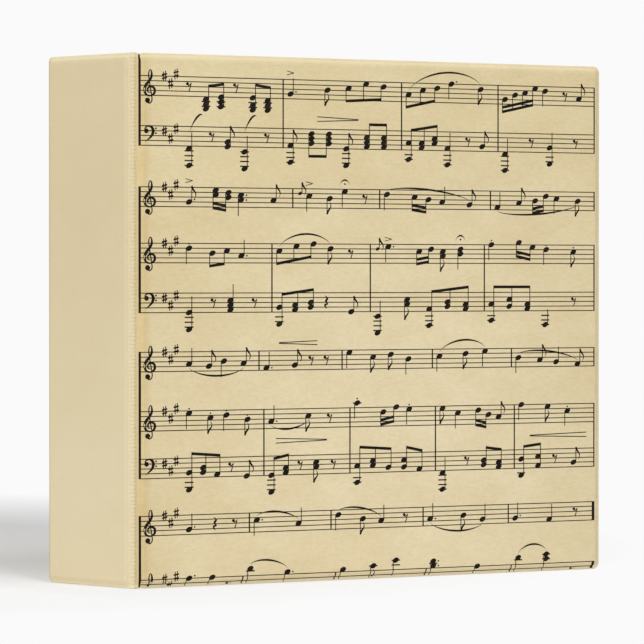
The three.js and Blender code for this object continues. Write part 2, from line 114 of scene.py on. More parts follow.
class Nodes:
    """A material's node tree, with short ways to add and link nodes."""

    def __init__(self, name):
        self.material = bpy.data.materials.new(name)
        self.material.use_nodes = True
        self.tree = self.material.node_tree
        self.shader = self.tree.nodes["Principled BSDF"]
        self.where = self.add("ShaderNodeTexCoord").outputs["Object"]

    def add(self, kind, **settings):
        node = self.tree.nodes.new(kind)
        for key, value in settings.items():
            setattr(node, key, value)
        return node

    def feed(self, socket, value):
        """Links a node's output to a socket, or sets the socket to a plain value."""
        if isinstance(value, bpy.types.NodeSocket):
            self.tree.links.new(value, socket)
        else:
            socket.default_value = value

    def fill(self, node, **values):
        """Feeds a node's inputs by name, with _ for the spaces."""
        for key, value in values.items():
            self.feed(node.inputs[key.replace("_", " ")], value)

    def put(self, **values):
        self.fill(self.shader, **values)

    def noise(self, scale, detail, rough, stretch=None, distortion=0.0):
        source = self.where
        if stretch:
            mapping = self.add("ShaderNodeMapping")
            self.fill(mapping, Scale=stretch, Vector=source)
            source = mapping.outputs["Vector"]
        node = self.add("ShaderNodeTexNoise")
        self.fill(node, Scale=scale, Detail=detail, Roughness=rough, Distortion=distortion, Vector=source)
        return node.outputs["Fac"]

    def ramp(self, source, stops):
        node = self.add("ShaderNodeValToRGB")
        elements = node.color_ramp.elements
        while len(elements) < len(stops):
            elements.new(0.5)
        for element, (place, value) in zip(elements, stops):
            element.position = place
            element.color = value
        self.fill(node, Fac=source)
        return node.outputs["Color"]

    def between(self, source, low, high, start=0.3, end=0.7):
        """A colour that goes from low to high as the source goes from start to end."""
        return self.ramp(source, [(start, low), (end, high)])

    def mix(self, factor, a, b, blend="MIX"):
        node = self.add("ShaderNodeMix", data_type="RGBA", blend_type=blend)
        for socket, value in ((node.inputs[0], factor), (node.inputs[6], a), (node.inputs[7], b)):
            self.feed(socket, value)
        return node.outputs[2]

    def span(self, source, low, high, from_low=0.0, from_high=1.0):
        """A number that goes from low to high as the source goes from from_low to from_high."""
        node = self.add("ShaderNodeMapRange")
        self.fill(node, Value=source, From_Min=from_low, From_Max=from_high, To_Min=low, To_Max=high)
        return node.outputs["Result"]

    def bump(self, layers):
        """Stacks bump layers of (height, distance in metres)."""
        last = None
        for height, distance in layers:
            node = self.add("ShaderNodeBump")
            self.fill(node, Strength=1.0, Distance=distance, Height=height)
            if last is not None:
                self.fill(node, Normal=last)
            last = node.outputs["Normal"]
        self.put(Normal=last)

    def calculate(self, kind, operation, values):
        node = self.add(kind, operation=operation)
        for socket, value in zip(node.inputs, values):
            self.feed(socket, value)
        return node.outputs

    def arithmetic(self, operation, *values):
        return self.calculate("ShaderNodeMath", operation, values)[0]

    def coordinate(self, letter):
        parts = self.add("ShaderNodeSeparateXYZ")
        self.fill(parts, Vector=self.where)
        return parts.outputs[letter]

    def distance(self, point, source=None):
        """The distance from a point, in metres."""
        ends = (self.where if source is None else source, point)
        return self.calculate("ShaderNodeVectorMath", "DISTANCE", ends)["Value"]

    def near_hinge(self, axis, value, reach):
        """A value beside a hinge line that falls to 0 between two distances in millimetres."""
        flat = self.calculate("ShaderNodeVectorMath", "MULTIPLY", (self.where, (1.0, 1.0, 0.0)))["Vector"]
        away = self.distance(metres(axis), flat)
        return self.span(away, value, 0.0, reach[0] / 1000.0, reach[1] / 1000.0)

    def painted_highlight(self):
        """How much paler the film is painted at the sheet's two ends and beside the front hinge: a painted highlight
        for the light that its slopes catch there.
        """
        middle = HEIGHT / 2
        full, none = ENDS_HIGHLIGHT_REACH
        from_middle = self.arithmetic("ABSOLUTE", self.arithmetic("SUBTRACT", self.coordinate("Z"), middle / 1000.0))
        ends = self.span(from_middle, 0.0, ENDS_HIGHLIGHT, (middle - none) / 1000.0, (middle - full) / 1000.0)
        return self.arithmetic("MAXIMUM", self.near_hinge(FRONT_AXIS, HINGE_HIGHLIGHT, HINGE_HIGHLIGHT_REACH), ends)

    def weld_stipple(self):
        """A row of small dents along both hinge lines, as a toothed welding bar leaves them."""
        masks = [self.near_hinge(axis, 1.0, TOOTH_REACH) for axis in (FRONT_AXIS, BACK_AXIS)]
        turns = self.arithmetic("MULTIPLY", self.coordinate("Z"), 2 * math.pi / (TOOTH_PITCH / 1000.0))
        dents = self.span(self.arithmetic("SINE", turns), 0.0, 1.0, -0.2, 0.9)
        return self.arithmetic("MULTIPLY", dents, self.arithmetic("MAXIMUM", *masks))


# The tone of the painted highlight at the film's ends and beside the front hinge.
HIGHLIGHT_TONE = colour(247, 234, 200)
CLOUD, LAID_LINE = colour(241, 234, 220), colour(232, 223, 201)
FLECK, SPECK = colour(238, 231, 214), colour(164, 138, 92)


def paper_print(name, light, edge, centre, grain, mottle, shade_axis, tan, shade_reach):
    """Film printed as old paper, darker away from a centre point, with laid lines, fibres and specks; painted shade
    beside a hinge and a painted highlight at the sheet's ends and beside the front hinge.
    """
    m = Nodes(name)
    wander = m.noise(14, 5, 0.6, distortion=0.4)
    spread = m.arithmetic("MULTIPLY_ADD", wander, 0.09, m.distance(centre))
    # Darker away from a centre point, whose distance a noise makes wander.
    darker_outwards = m.mix(m.span(spread, 0.0, 1.0, 0.09, 0.25), light, edge)
    clouds = m.between(m.noise(38, 5, 0.6, stretch=(0.6, 0.6, 1.0)), CLOUD, WHITE, 0.32, 0.66)
    clouded = m.mix(mottle, darker_outwards, clouds, "MULTIPLY")
    laid = m.between(m.noise(680, 4, 0.62, stretch=(0.4, 0.4, 1.0)), LAID_LINE, WHITE, 0.3, 0.66)
    lined = m.mix(grain, clouded, laid, "MULTIPLY")
    flecks = m.between(m.noise(1500, 3, 0.7, stretch=(0.4, 0.4, 1.0)), FLECK, WHITE, 0.3, 0.6)
    flecked = m.mix(grain * 0.8, lined, flecks, "MULTIPLY")
    # Painted shade: the paper is darkened beside a hinge line, where the film slopes down into the hinge.
    shaded = m.mix(m.near_hinge(shade_axis, tan, shade_reach), flecked, edge, "MULTIPLY")
    # Painted highlight: paler towards the sheet's ends and beside the front hinge.
    highlighted = m.mix(m.painted_highlight(), shaded, HIGHLIGHT_TONE)
    specks = m.span(m.noise(760, 2, 0.5), 0.0, 0.3, 0.71, 0.78)
    m.put(Base_Color=m.mix(specks, highlighted, SPECK), Roughness=m.span(m.noise(60, 3, 0.5), 0.46, 0.58),
          Specular_IOR_Level=0.3, Coat_Weight=0.08, Coat_Roughness=0.4)
    m.bump([(m.weld_stipple(), 0.00022), (m.noise(26, 3, 0.5), 0.00005), (m.noise(1500, 2, 0.6), 0.000012)])
    return m.material


def cloudy(name, noise, low, high):
    """A material whose colour wanders between two 0-255 colours."""
    m = Nodes(name)
    m.put(Base_Color=m.between(m.noise(*noise), colour(*low), colour(*high)))
    return m


def liner_film():
    m = cloudy("liner_film", (14, 4, 0.5), (236, 234, 226), (245, 243, 237))
    m.put(Roughness=m.span(m.noise(80, 3, 0.5), 0.42, 0.56), Specular_IOR_Level=0.45)
    grain = m.add("ShaderNodeTexVoronoi")
    m.fill(grain, Scale=1600, Vector=m.where)
    m.bump([(m.noise(24, 2, 0.5), 0.00008), (grain.outputs["Distance"], 0.00003)])
    return m.material


def pocket_film():
    m = cloudy("pocket_film", (9, 3, 0.5), (238, 241, 243), (247, 249, 250))
    m.put(Roughness=m.span(m.noise(40, 3, 0.5), 0.12, 0.24), Alpha=0.15, Specular_IOR_Level=0.6,
          Coat_Weight=0.4, Coat_Roughness=0.08)
    m.bump([(m.noise(16, 3, 0.5, stretch=(1, 1, 0.5)), 0.0005), (m.noise(120, 2, 0.5), 0.00004)])
    return m.material


def nickel(name, rough, brushed):
    """Nickel-plated steel with faint drawn lines and cloudy polish."""
    m = cloudy(name, (30, 4, 0.6), (196, 195, 191), (216, 215, 212))
    lines = m.noise(1400, 3, 0.6, stretch=brushed)
    m.put(Metallic=1.0, Roughness=m.span(lines, *rough, 0.3, 0.7))
    m.bump([(m.noise(90, 2, 0.5), 0.00003), (lines, 0.000008)])
    return m.material


def grip_plastic():
    m = cloudy("grip_plastic", (120, 4, 0.6), (26, 26, 28), (38, 38, 41))
    m.put(Roughness=m.span(m.noise(300, 3, 0.5), 0.45, 0.6))
    m.bump([(m.noise(2600, 2, 0.6), 0.00004)])
    return m.material


def chipboard():
    m = cloudy("chipboard", (700, 5, 0.7), (128, 116, 100), (168, 156, 138))
    m.put(Roughness=0.95)
    m.bump([(m.noise(1200, 4, 0.7), 0.0001)])
    return m.material


def ink():
    """Dark brown printing ink that thins to the paper's tone here and there."""
    m = Nodes("music_ink")
    tones = [(0.3, colour(42, 32, 22)), (0.5, colour(20, 14, 9)), (0.8, colour(13, 9, 6))]
    m.put(Base_Color=m.ramp(m.noise(160, 5, 0.65), tones), Roughness=m.span(m.noise(400, 3, 0.6), 0.6, 0.75),
          Specular_IOR_Level=0.12)
    m.bump([(m.noise(2200, 2, 0.6), 0.000012)])
    return m.material


PAPER_LIGHT, PAPER_EDGE = colour(236, 223, 188), colour(228, 213, 173)
SPINE_LIGHT, SPINE_EDGE = colour(222, 208, 173), colour(212, 197, 160)
# The last three values of each paper give its painted shade beside a hinge: the hinge line, how dark, and its reach
# in millimetres.
COVER_PAPER = paper_print("cover_print_paper", PAPER_LIGHT, PAPER_EDGE, (0.01, -0.04, 0.06), 0.32, 0.6,
                          FRONT_AXIS, 0.52, (5.0, 11.0))
BACK_PAPER = paper_print("back_print_paper", PAPER_LIGHT, PAPER_EDGE, (0.0, 0.09, 0.13), 0.32, 0.6,
                         BACK_AXIS, 0.3, (5.0, 11.0))
SPINE_PAPER = paper_print("spine_paper", SPINE_LIGHT, SPINE_EDGE, (-0.15, 0.054, 0.0), 0.1, 0.2,
                          BACK_AXIS, 0.5, (1.2, 3.6))
LINER = liner_film()
POCKET = pocket_film()
NICKEL = nickel("nickel_steel", (0.16, 0.3), (1.0, 1.0, 0.04))
WIRE_NICKEL = nickel("wire_nickel", (0.1, 0.2), (0.3, 0.3, 0.3))
GRIP = grip_plastic()
CHIPBOARD = chipboard()
INK = ink()


# Meshes

def placed(name, data):
    """An object of the scene from a mesh, a lamp or a camera."""
    obj = bpy.data.objects.new(name, data)
    bpy.context.scene.collection.objects.link(obj)
    return obj


def dressed(obj, body, slot, *nodes):
    """Says which body an object moves with and hides the solids it stands for. The slot is not used."""
    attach(obj, body)
    if nodes:
        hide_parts(*nodes)


def make(name, points_mm, faces, materials, smooth_angle, face_materials=None):
    """A mesh object from points in millimetres."""
    mesh = bpy.data.meshes.new(name)
    mesh.from_pydata([tuple(c / 1000.0 for c in p) for p in points_mm], [], faces)
    for material in materials:
        mesh.materials.append(material)
    if face_materials is not None:
        mesh.polygons.foreach_set("material_index", face_materials)
    mesh.polygons.foreach_set("use_smooth", [True] * len(mesh.polygons))
    mesh.update()
    mesh.set_sharp_from_angle(angle=math.radians(smooth_angle))
    return placed(name, mesh)


def face_outwards(obj):
    """Turns every face of a closed mesh outwards."""
    bm = bmesh.new()
    bm.from_mesh(obj.data)
    bmesh.ops.recalc_face_normals(bm, faces=bm.faces)
    bm.to_mesh(obj.data)
    bm.free()


def skin(name, rings, material, smooth_angle):
    """A closed mesh over rings of points, all with the same number of points, and flat at both ends."""
    points = [point for ring in rings for point in ring]
    n = len(rings[0])
    last = len(points) - n
    faces = []
    for first in range(0, last, n):
        for j in range(n):
            k = (j + 1) % n
            faces.append((first + j, first + k, first + n + k, first + n + j))
    faces += [tuple(range(n))[::-1], tuple(range(last, len(points)))]
    obj = make(name, points, faces, [material], smooth_angle)
    face_outwards(obj)
    return obj


class Panel:
    """One flat of the case, measured from a hinge line, with its outward side."""

    def __init__(self, axis, angle, outward, width, free, seed):
        self.axis = np.array(axis)
        self.along = np.array([math.cos(angle), math.sin(angle)])
        self.out = np.array(outward)
        self.width = width
        self.free = free
        self.phase = np.random.default_rng(seed).uniform(0, 6.28, 6)

    def place(self, s, z, h):
        x, y = self.axis + self.along * s + self.out * h
        return (x, y, z)

    def fall(self, s, z):
        """How far the film has come down from the board to the weld, from 0 on the board to 1."""
        margin, slope = (COVER_HINGE_MARGIN, SLOPE) if self.free else (SPINE_HINGE_MARGIN, SPINE_SLOPE)
        far_margin, far_slope = (RIM, SLOPE) if self.free else (margin, slope)
        near = (margin + SHOULDER - s) / (SHOULDER + slope)
        far = (s - (self.width - far_margin - SHOULDER)) / (SHOULDER + far_slope)
        ends = (abs(z - HEIGHT / 2) - (HEIGHT / 2 - RIM - SHOULDER)) / (SHOULDER + SLOPE)
        return min((max(near, far, 0.0) ** 4 + max(ends, 0.0) ** 4) ** 0.25, 1.0)

    def edge_dip(self, s, z):
        """The rounding of the film's cut edge."""
        edge = min(z, HEIGHT - z, self.width - s if self.free else EDGE_ROUND)
        return EDGE_DROP * (1 - max(edge, 0.0) / EDGE_ROUND) ** 2 if edge < EDGE_ROUND else 0.0

    def face_height(self, s, z):
        """The outer face over the middle of the weld."""
        height = WELD + (FACE - WELD) * (0.5 + 0.5 * math.cos(math.pi * self.fall(s, z) ** FALL_POWER))
        edge = min(s, self.width - s, z, HEIGHT - z)
        inside = min(max((edge - WAVE_FROM) / WAVE_RISE, 0.0), 1.0)
        p = self.phase
        wave = math.sin(s / 31 + p[0]) * math.sin(z / 43 + p[1]) + 0.6 * math.sin(s / 17 + z / 23 + p[2])
        return height + WAVE * wave * inside * inside * (3 - 2 * inside) - self.edge_dip(s, z)

    def round_corner(self, s, z):
        """Draws the square grid in to the rounded corners at a free edge."""
        if not self.free:
            return s, z
        a = s - (self.width - CORNER)
        b = abs(z - HEIGHT / 2) - (HEIGHT / 2 - CORNER)
        if a <= 0 or b <= 0:
            return s, z
        k = max(a, b) / math.hypot(a, b)
        sign = 1 if z > HEIGHT / 2 else -1
        return self.width - CORNER + a * k, HEIGHT / 2 + sign * (HEIGHT / 2 - CORNER + b * k)


FRONT = Panel(FRONT_AXIS, -AJAR, (-math.sin(AJAR), -math.cos(AJAR)), COVER, True, 1)
SPINE_PANEL = Panel(FRONT_AXIS, math.pi / 2, (-1.0, 0.0), SPINE, False, 2)
SPINE_BACK = Panel(BACK_AXIS, -math.pi / 2, (-1.0, 0.0), SPINE, False, 2)
BACK = Panel(BACK_AXIS, 0.0, (0.0, 1.0), COVER, True, 3)

EDGE_STEPS = [0.0, 0.1, 0.2, 0.3, 0.6, 0.9] + [1.1 + 0.3 * i for i in range(16)] + [7.0, 10.0, 15.0]
HINGE_STEPS = [1.3 + 0.25 * i for i in range(25)] + [8.5, 11.0, 15.0]
SLOPE_STEPS = [e for e in EDGE_STEPS if e < 6]


def ladder(low_steps, high_steps, length, pitch):
    """Grid lines that are close at both ends and evenly spread between."""
    high = [length - h for h in high_steps][::-1]
    a, b = low_steps[-1], high[0]
    count = max(int(round((b - a) / pitch)), 1)
    return low_steps + [a + (b - a) * i / count for i in range(1, count)] + high


def fold_points(p, q):
    """The bend of radius FOLD between two panels, as (point, outward, distance from the bend's middle)."""
    half = math.acos(float(np.dot(p.along, q.along))) / 2
    centre = p.axis + unit(p.along + q.along) * (FOLD / math.sin(half))
    result = []
    angle_p = math.atan2(p.out[1], p.out[0])
    angle_q = math.atan2(q.out[1], q.out[0])
    turn = (angle_q - angle_p + math.pi) % (2 * math.pi) - math.pi
    for i in range(1, FOLD_STEPS):
        a = angle_p + turn * i / FOLD_STEPS
        out = np.array([math.cos(a), math.sin(a)])
        result.append((centre + out * FOLD, out, FOLD * abs(turn * (i / FOLD_STEPS - 0.5))))
    return result


Z_LINES = ladder(EDGE_STEPS, EDGE_STEPS, HEIGHT, 8.0)


def sheet_columns(main, other):
    """Columns of a sheet from main's free edge, round the hinge and along other to its seam."""
    columns = [(main, s) for s in ladder(HINGE_STEPS, EDGE_STEPS, COVER, 8.0)[::-1]]
    columns += [(None, fold) for fold in fold_points(main, other)]
    end = SPINE - SEAM if main is FRONT else SEAM
    columns += [(other, s) for s in ladder(HINGE_STEPS, HINGE_STEPS, SPINE, 7.0) if s < end - 0.05]
    columns.append((other, end))
    return columns


def rounded_off(away):
    """How far the cut ends are drawn in at a distance along the film from the middle of the back hinge's bend."""
    nearness = min(max(1 - away / BACK_ROUND_REACH, 0.0), 1.0)
    return BACK_ROUND * (1 - math.sqrt(1 - nearness ** 2))


def drawn_in(panel, s):
    """How far the cut ends are drawn in at a place on a panel."""
    if panel is FRONT:
        nearness = max(1 - ((s - FRONT_DIP_AT) / FRONT_DIP_REACH) ** 2, 0.0)
        return FRONT_DIP * nearness ** 2
    if panel is SPINE_PANEL:
        s = SPINE - s
    return rounded_off(s - FOLD * (1 - math.pi / 4))


def squeezed(z, drawn):
    """Moves a height in towards the sheet's middle."""
    return HEIGHT / 2 + (z - HEIGHT / 2) * (1 - drawn / (HEIGHT / 2))


def film_sheet(name, main, other, outer, materials, *nodes):
    """A closed sheet of film over a cover, a hinge and the spine, outside or inside the boards."""
    columns = sheet_columns(main, other)
    top, bottom = [], []
    for panel, value in columns:
        for z in Z_LINES:
            if panel is None:
                point, out, away = value
                dip = main.edge_dip(COVER / 2, z)
                high, low = (WELD - dip, 0.0) if outer else (0.0, -WELD + dip)
                zz = z if main is FRONT else squeezed(z, rounded_off(away))
                for store, h in ((top, high), (bottom, low)):
                    store.append((*(point + out * h), zz))
                continue
            s, zz = panel.round_corner(value, z)
            drawn = squeezed(zz, drawn_in(panel, s))
            if outer:
                high = panel.face_height(s, zz)
                low = max(high - FILM, 0.0)
            else:
                high, low = 0.0, -WELD + panel.edge_dip(s, zz)
            top.append(panel.place(s, drawn, high))
            bottom.append(panel.place(s, drawn, low))
    nz, nc, count = len(Z_LINES), len(columns), len(top)
    faces, indices = [], []
    for c in range(nc - 1):
        paper = 0 if columns[c][0] is main else 1
        for k in range(nz - 1):
            a, b = c * nz + k, (c + 1) * nz + k
            faces.append((a, b, b + 1, a + 1))
            faces.append((a + 1 + count, b + 1 + count, b + count, a + count))
            indices += [paper, paper]
    rim = [*range(0, count, nz), *range(count - nz + 1, count)]
    rim += [*range(count - nz - 1, 0, -nz), *range(nz - 2, 0, -1)]
    for i, a in enumerate(rim):
        b = rim[(i + 1) % len(rim)]
        faces.append((b, a, a + count, b + count))
        indices.append(0)
    if main is BACK:
        faces = [face[::-1] for face in faces]
    obj = make(name, top + bottom, faces, materials, 50.0, indices)
    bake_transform(obj)
    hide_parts(*nodes)


film_sheet("outer_film_front", FRONT, SPINE_PANEL, True, [COVER_PAPER, SPINE_PAPER],
           "front_cover_wrap", "spine_wrap", "front_hinge_strip")
film_sheet("outer_film_back", BACK, SPINE_BACK, True, [BACK_PAPER, SPINE_PAPER],
           "back_cover_wrap", "back_hinge_strip")
film_sheet("inner_film_front", FRONT, SPINE_PANEL, False, [LINER, LINER], "front_cover_liner", "spine_liner")
film_sheet("inner_film_back", BACK, SPINE_BACK, False, [LINER, LINER], "back_cover_liner")


# The print on the front cover: made-up music, measured in millimetres and in staff spaces

SPACE = 2.69
PRINT_START = 3.1
PRINT_END = 293.6
PRINT_FOOT = 294.4
SLOPE_FROM = 287.0
SINK = -0.03
STAFF_LINE = 0.5
LEDGER_LINE, LEDGER_HALF = 0.75, 2.7
STEM = 0.5
BAR_LINE = 0.8
SYSTEM_LINE = 0.95
FINAL_BAR = 1.8
BEAM = 1.6
LINE_PITCH = 6.0
OVAL_SIDES = 18
SLICES = 10


def film_row(s, z):
    """The height on the flat sheet from which the dip beside the hinge moves a point to height z."""
    share = 1 - drawn_in(FRONT, s) / (HEIGHT / 2)
    return max(min(HEIGHT / 2 + (z - HEIGHT / 2) / share, HEIGHT), 0.0)


class InkSheet:
    """Thin closed slabs of ink that follow the front cover's face. t runs down from the cover's top edge."""

    def __init__(self, lift):
        self.points, self.faces, self.lift = [], [], lift

    def row(self, line, h):
        """Adds the points of a line, h above the film, and gives their numbers."""
        for s, t in line:
            z = HEIGHT - t
            self.points.append(FRONT.place(s, z, FRONT.face_height(s, film_row(s, z)) + h))
        return range(len(self.points) - len(line), len(self.points))

    def prism(self, outline):
        """A slab over a convex outline, cut off at the print's foot."""
        if max(t for s, t in outline) > SLOPE_FROM:
            self.sliced(outline)
            return
        top, low = self.row(outline, self.lift), self.row(outline, SINK)
        self.faces += [tuple(reversed(top)), tuple(low)]
        for i in range(len(outline)):
            self.faces.append((top[i - 1], top[i], low[i], low[i - 1]))

    def sliced(self, outline):
        """The same slab in level slices, so that it follows the slope at the cover's foot."""
        first = min(t for s, t in outline) + 0.02
        last = min(max(t for s, t in outline) - 0.02, PRINT_FOOT)
        if last - first < 0.1:
            return
        left, right = [], []
        for i in range(SLICES):
            level_t = first + (last - first) * i / (SLICES - 1)
            crossings = []
            for (s0, t0), (s1, t1) in zip(outline, outline[1:] + outline[:1]):
                if min(t0, t1) <= level_t <= max(t0, t1) and t0 != t1:
                    crossings.append(s0 + (s1 - s0) * (level_t - t0) / (t1 - t0))
            left.append((min(crossings), level_t))
            right.append((max(crossings), level_t))
        self.whole_strip(left, right)

    def strip(self, left, right):
        """A slab along two lines of points, as a stroke of a pen leaves it, cut off at the print's foot."""
        run = []
        for pair in [*zip(left, right), None]:
            if pair and max(pair[0][1], pair[1][1]) <= PRINT_FOOT:
                run.append(pair)
                continue
            if len(run) > 1:
                self.whole_strip([a for a, b in run], [b for a, b in run])
            run = []

    def whole_strip(self, left, right):
        tl, tr = self.row(left, self.lift), self.row(right, self.lift)
        bl, br = self.row(left, SINK), self.row(right, SINK)
        for i in range(len(left) - 1):
            j = i + 1
            self.faces += [(tl[i], tl[j], tr[j], tr[i]), (bl[i], br[i], br[j], bl[j]),
                           (tl[i], bl[i], bl[j], tl[j]), (tr[i], tr[j], br[j], br[i])]
        self.faces += [(tl[0], tr[0], br[0], bl[0]), (tl[-1], bl[-1], br[-1], tr[-1])]

    def line(self, s0, t0, s1, t1, width):
        """A straight stroke, cut closely enough to follow the slopes at the cover's edges."""
        length = math.hypot(s1 - s0, t1 - t0)
        count = max(int(length / LINE_PITCH), 1)
        cuts = {i / count for i in range(count + 1)}
        if abs(s1 - s0) > 1:
            stops = [s for s in HINGE_STEPS if s < 8] + [COVER - e for e in SLOPE_STEPS]
            cuts |= {(s - s0) / (s1 - s0) for s in stops}
        if abs(t1 - t0) > 1:
            stops = SLOPE_STEPS + [HEIGHT - e for e in SLOPE_STEPS]
            cuts |= {(t - t0) / (t1 - t0) for t in stops}
        steps = sorted(u for u in cuts if 0 <= u <= 1)
        steps = [u for i, u in enumerate(steps) if i == 0 or u - steps[i - 1] > 1e-4]
        ns, nt = -(t1 - t0) / length * width / 2, (s1 - s0) / length * width / 2
        left = [(s0 + (s1 - s0) * u + ns, t0 + (t1 - t0) * u + nt) for u in steps]
        right = [(s0 + (s1 - s0) * u - ns, t0 + (t1 - t0) * u - nt) for u in steps]
        self.strip(left, right)

    def oval(self, s, t, a, b, tilt=0.0, sides=OVAL_SIDES):
        c, d = math.cos(tilt), math.sin(tilt)
        outline = []
        for i in range(sides):
            u, v = a * math.cos(math.tau * i / sides), b * math.sin(math.tau * i / sides)
            outline.append((s + u * c - v * d, t + u * d + v * c))
        self.prism(outline)

    def ring(self, s, t, a, b, tilt, thick):
        """A hollow notehead, as a closed stroke."""
        c, d = math.cos(tilt), math.sin(tilt)
        outer, inner = [], []
        for i in range(OVAL_SIDES + 1):
            u, v = math.cos(math.tau * i / OVAL_SIDES), math.sin(math.tau * i / OVAL_SIDES)
            for store, aa, bb in ((outer, a, b), (inner, a - thick * 0.7, b - thick)):
                store.append((s + aa * u * c - bb * v * d, t + aa * u * d + bb * v * c))
        self.strip(inner, outer)

    def pen(self, s, t, path, steps=6):
        """A stroke through (x, y, width) points in staff spaces, y up, smoothed between them."""
        fine = []
        pts = [np.array(p, float) for p in path]
        for i in range(len(pts) - 1):
            p0, p1 = pts[max(i - 1, 0)], pts[i]
            p2, p3 = pts[i + 1], pts[min(i + 2, len(pts) - 1)]
            for k in range(steps):
                u = k / steps
                fine.append(0.5 * (2 * p1 + (p2 - p0) * u + (2 * p0 - 5 * p1 + 4 * p2 - p3) * u ** 2
                                   + (3 * p1 - p0 - 3 * p2 + p3) * u ** 3))
        fine.append(pts[-1])
        left, right = [], []
        for i, p in enumerate(fine):
            a, b = around(fine, i)
            dx, dy = b[0] - a[0], b[1] - a[1]
            length = math.hypot(dx, dy) or 1.0
            nx, ny = -dy / length * p[2] / 2, dx / length * p[2] / 2
            left.append((s + (p[0] + nx) * SPACE, t - (p[1] + ny) * SPACE))
            right.append((s + (p[0] - nx) * SPACE, t - (p[1] - ny) * SPACE))
        self.strip(right, left)

    def finish(self, name):
        obj = make(name, self.points, self.faces, [INK], 30.0)
        face_outwards(obj)
        dressed(obj, "front_cover", "wrap_film")


LINES = InkSheet(0.03)
MARKS = InkSheet(0.04)
NOTES = InkSheet(0.045)

TREBLE = [
    (0.2, -0.42, 0.14), (-0.4, -0.3, 0.26), (-0.44, 0.4, 0.4), (0.2, 0.82, 0.42), (1.0, 0.42, 0.52),
    (1.0, -0.5, 0.52), (0.2, -1.06, 0.3), (-0.82, -0.84, 0.44), (-1.16, 0.1, 0.6), (-0.85, 1.1, 0.62),
    (-0.1, 2.0, 0.56), (0.4, 2.95, 0.5), (0.32, 4.0, 0.3), (-0.02, 4.2, 0.18), (-0.26, 3.4, 0.26),
    (-0.16, 2.2, 0.25), (0.16, 0.4, 0.25), (0.46, -1.4, 0.25), (0.4, -2.2, 0.25), (-0.1, -2.6, 0.26),
    (-0.6, -2.35, 0.3),
]
BASS = [
    (-1.15, 0.1, 0.14), (-1.0, 0.62, 0.26), (-0.3, 0.95, 0.34), (0.42, 0.7, 0.54), (0.74, -0.05, 0.7),
    (0.48, -0.9, 0.54), (-0.1, -1.55, 0.34), (-0.98, -2.2, 0.12),
]


def clef(kind, s, bottom):
    if kind == "treble":
        t = bottom - SPACE
        MARKS.pen(s, t, TREBLE)
        MARKS.oval(s - 0.52 * SPACE, t + 2.02 * SPACE, 0.56 * SPACE, 0.54 * SPACE)
    else:
        t = bottom - 3 * SPACE
        MARKS.pen(s, t, BASS)
        MARKS.oval(s - 0.78 * SPACE, t + 0.05 * SPACE, 0.5 * SPACE, 0.5 * SPACE)
        for up in (0.5, -0.5):
            MARKS.oval(s + 1.35 * SPACE, t - up * SPACE, 0.2 * SPACE, 0.2 * SPACE, sides=12)


def sharp(s, t):
    MARKS.line(s - 0.24 * SPACE, t + 1.12 * SPACE, s - 0.24 * SPACE, t - 0.92 * SPACE, 0.55)
    MARKS.line(s + 0.24 * SPACE, t + 0.92 * SPACE, s + 0.24 * SPACE, t - 1.12 * SPACE, 0.55)
    for up in (0.38, -0.38):
        MARKS.line(s - 0.58 * SPACE, t - (up - 0.13) * SPACE, s + 0.58 * SPACE, t - (up + 0.13) * SPACE, 0.92)


def level(bottom, step):
    """The height on the page of a staff step, 0 on the bottom line."""
    return bottom - step * SPACE / 2


def head(s, bottom, step, hollow=False, small=1.0):
    t = level(bottom, step)
    a, b = 0.76 * SPACE * small, 0.53 * SPACE * small
    if hollow:
        NOTES.ring(s, t, a, b, -0.4, 0.2 * SPACE)
    else:
        NOTES.oval(s, t, a, b, -0.45)


def ledgers(s, bottom, step):
    for line in [*range(-2, step - 1, -2), *range(10, step + 1, 2)]:
        t = level(bottom, line)
        LINES.line(s - LEDGER_HALF, t, s + LEDGER_HALF, t, LEDGER_LINE)


def eighth_rest(s, bottom):
    t = level(bottom, 4)
    MARKS.oval(s - 0.9, t - 1.5, 0.92, 0.88, sides=12)
    MARKS.pen(s, t, [(-0.3, 0.32, 0.16), (0.08, 0.24, 0.2), (0.52, 0.72, 0.12)], 4)
    MARKS.pen(s, t, [(0.52, 0.74, 0.18), (0.26, -0.2, 0.2), (-0.06, -1.12, 0.22)], 4)


def quarter_rest(s, bottom):
    t = level(bottom, 4)
    MARKS.pen(s, t, [(-0.28, 1.35, 0.12), (0.24, 0.8, 0.4), (-0.1, 0.28, 0.46), (0.34, -0.4, 0.2)], 5)
    MARKS.pen(s, t, [(0.34, -0.4, 0.16), (-0.28, -0.5, 0.44), (-0.2, -1.0, 0.28), (0.1, -1.3, 0.08)], 5)


def flag(s, t, up):
    sign = 1 if up else -1
    path = [(0, 0, 0.4), (0.28, -0.7, 0.42), (0.8, -1.35, 0.28), (0.9, -2.0, 0.18), (0.62, -2.6, 0.08)]
    MARKS.pen(s, t, [(x, sign * y, w) for x, y, w in path], 4)


def slur(s0, t0, s1, t1, rise, thick=0.9):
    """A tapered arc from one point to another, rising by rise millimetres."""
    left, right = [], []
    for i in range(25):
        u = i / 24
        arc = 4 * u * (1 - u)
        s, t = s0 + (s1 - s0) * u, t0 + (t1 - t0) * u
        w = 0.2 + thick * arc ** 1.3
        left.append((s, t - rise * arc ** 0.72 - w / 2))
        right.append((s, t - rise * arc ** 0.72 + w / 2))
    MARKS.strip(left, right)


# Each token is a rest (R, r), a note (q, e, h, g for a grace note) or a beam of notes (b, s for a double beam),
# with the staff steps of its heads, / between the heads of a chord, and signs: . > ^ _.
WEIGHTS = {"R": 2.0, "r": 1.4, "q": 2.0, "e": 1.5, "h": 3.2, "g": 0.9}
STEM_REACH = 3.3 * SPACE
STEM_SIDE = 0.62 * SPACE
FIRST_NOTE, BAR_ROOM = 4.2, 5.0


